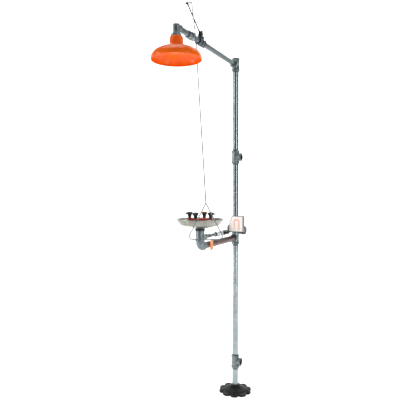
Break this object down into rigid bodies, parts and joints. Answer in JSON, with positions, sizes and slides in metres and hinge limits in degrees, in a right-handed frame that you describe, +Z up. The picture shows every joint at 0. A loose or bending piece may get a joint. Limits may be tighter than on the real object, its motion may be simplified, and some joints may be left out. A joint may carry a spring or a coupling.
{
  "type": "emergency safety shower",
  "caption": "Free-standing emergency shower on a round floor flange: overhead head with lever and pull rod, and a bowl eyewash with push flag on the same pipe.",
  "frame": {"origin": "centre of the floor flange's underside, on the standpipe's axis", "axes": "+Z up along the standpipe; shower arm and bowl towards -Y; side ports towards +X"},
  "size_m": [0.3287, 1.1078, 2.4941],
  "materials": {
    "galvanised_pipe": "zinc dipped, dull sheen",
    "galvanised_fitting": "zinc dipped casting",
    "black_iron": "black enamel on cast iron",
    "black_plastic": "moulded, matt",
    "valve_metal": "dark nickel plated",
    "brass": "machined",
    "stainless": "brushed stainless steel",
    "dark_steel": "dark stainless steel",
    "orange_plastic": "glossy moulded plastic",
    "black_rubber": "moulded rubber",
    "seat_plastic": "moulded, matt",
    "label_face": "printed film",
    "charcoal_plastic": "moulded, satin",
    "red_plastic": "moulded, satin"
  },
  "bodies": {
    "frame": {"floor_flange": "black_iron", "drain_nipple": "galvanised_pipe", "drain_tee": "galvanised_fitting", "lower_standpipe": "galvanised_pipe", "divider_tee": "galvanised_fitting", "port_cap": "black_plastic", "middle_standpipe": "galvanised_pipe", "supply_tee": "galvanised_fitting", "upper_standpipe": "galvanised_pipe", "top_tee": "galvanised_fitting", "top_plug": "galvanised_fitting", "arm_bushing": "galvanised_fitting", "shower_arm": "galvanised_pipe", "shower_valve_body": "valve_metal", "shower_valve_seat": "brass", "shower_valve_bonnet": "valve_metal", "lever_pin": "stainless", "valve_nipple": "galvanised_pipe", "arm_union": "galvanised_fitting", "front_nipple": "galvanised_pipe", "street_elbow": "galvanised_fitting", "collar_nut": "galvanised_fitting", "shower_head": "orange_plastic", "head_spreader": "orange_plastic", "waste_pipe": "galvanised_pipe", "waste_elbow": "galvanised_fitting", "receptor_body": "galvanised_fitting", "bowl_gasket": "black_rubber", "eyewash_bowl": "stainless", "bowl_locknut": "brass", "rear_supply_nipple": "galvanised_pipe", "eyewash_valve_body": "valve_metal", "eyewash_valve_end": "valve_metal", "ball_seats": "seat_plastic", "middle_supply_nipple": "galvanised_pipe", "strainer_body": "stainless", "strainer_screen": "stainless", "front_supply_nipple": "galvanised_pipe", "spray_manifold": "red_plastic", "spray_head_left": "charcoal_plastic", "spray_head_right": "charcoal_plastic", "spray_head_front": "charcoal_plastic", "spray_head_back": "charcoal_plastic", "spray_filters": "seat_plastic", "cover_pins": "stainless"},
    "lever": {"shower_lever": "dark_steel"},
    "plunger": {"shower_valve_plunger": "brass"},
    "rod": {"pull_rod": "stainless", "rod_cotter": "stainless"},
    "flag": {"flag_handle": "stainless", "flag_label": "label_face", "handle_nut": "stainless", "eyewash_stem": "stainless", "eyewash_ball": "stainless"},
    "cover_left": {"cover_left": "charcoal_plastic"},
    "cover_right": {"cover_right": "charcoal_plastic"},
    "cover_front": {"cover_front": "charcoal_plastic"},
    "cover_back": {"cover_back": "red_plastic"},
    "tag": {"inspection_tag": "orange_plastic", "tag_wire": "dark_steel"}
  },
  "joints": [
    {"name": "lever_pivot", "type": "hinge", "parent": "frame", "child": "lever", "pos_m": [0, -0.56, 2.362], "axis": [1, 0, 0], "range_deg": [0, 36]},
    {"name": "plunger_slide", "type": "slide", "parent": "frame", "child": "plunger", "axis": [0, 0, -1], "range_m": [0, 0.003]},
    {"name": "rod_hang", "type": "hinge", "parent": "lever", "child": "rod", "pos_m": [0, -0.72903, 2.48662], "axis": [1, 0, 0], "range_deg": [-34.1, 0]},
    {"name": "flag_push", "type": "hinge", "parent": "frame", "child": "flag", "pos_m": [0.02, -0.2, 1.153], "axis": [-1, 0, 0], "range_deg": [0, 90]},
    {"name": "tag_swing", "type": "hinge", "parent": "frame", "child": "tag", "pos_m": [0, -0.448, 1.153], "axis": [0, -1, 0], "range_deg": [0, 60]},
    {"name": "cover_left_flip", "type": "hinge", "parent": "frame", "child": "cover_left", "pos_m": [-0.093, -0.568, 1.2996], "axis": [0, -1, 0], "range_deg": [0, 110]},
    {"name": "cover_right_flip", "type": "hinge", "parent": "frame", "child": "cover_right", "pos_m": [0.093, -0.568, 1.2996], "axis": [0, 1, 0], "range_deg": [0, 110]},
    {"name": "cover_front_flip", "type": "hinge", "parent": "frame", "child": "cover_front", "pos_m": [0, -0.65, 1.2996], "axis": [1, 0, 0], "range_deg": [0, 110]},
    {"name": "cover_back_flip", "type": "hinge", "parent": "frame", "child": "cover_back", "pos_m": [0, -0.486, 1.2996], "axis": [-1, 0, 0], "range_deg": [0, 110]}
  ],
  "couplings": [
    {"joint": "rod_hang", "follows": "lever_pivot", "ratio": -0.945},
    {"joint": "plunger_slide", "follows": "lever_pivot", "m_per_rad": 0.004775}
  ]
}
